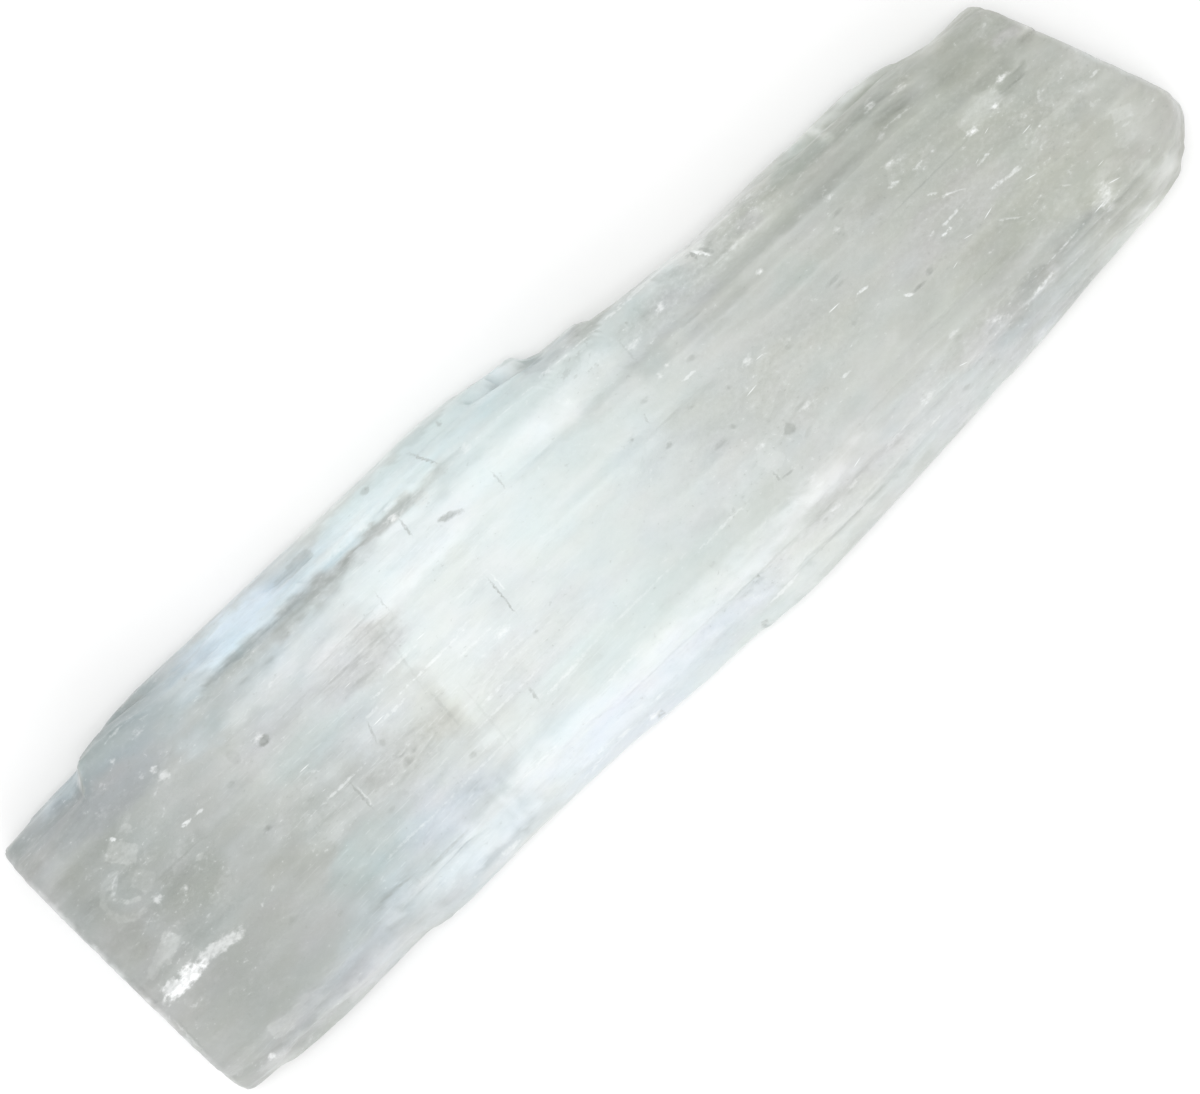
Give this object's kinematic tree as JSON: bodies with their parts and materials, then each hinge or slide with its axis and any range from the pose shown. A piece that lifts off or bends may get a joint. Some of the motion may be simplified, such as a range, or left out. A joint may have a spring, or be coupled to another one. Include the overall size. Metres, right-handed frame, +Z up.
{
  "type": "selenite charging plate",
  "caption": "Raw slab of fibrous selenite with a fairly flat upper face and sawn ends, laid flat so that small stones or jewellery can be set down on it.",
  "frame": {"origin": "centre of the bounding box, on the surface that the slab rests on", "axes": "+X along the fibres, from the square-cut end to the end that is cut askew; +Y across the slab, towards the side with the stepped ledge; +Z up, out of the upper face"},
  "size_m": [0.2, 0.0576, 0.0182],
  "materials": {
    "selenite": "pearly white fibrous stone, milky across the middle and clearer and greyer towards the ends, with a silky sheen along the fibres"
  },
  "bodies": {
    "root": {"selenite_slab": "selenite"}
  },
  "joints": []
}
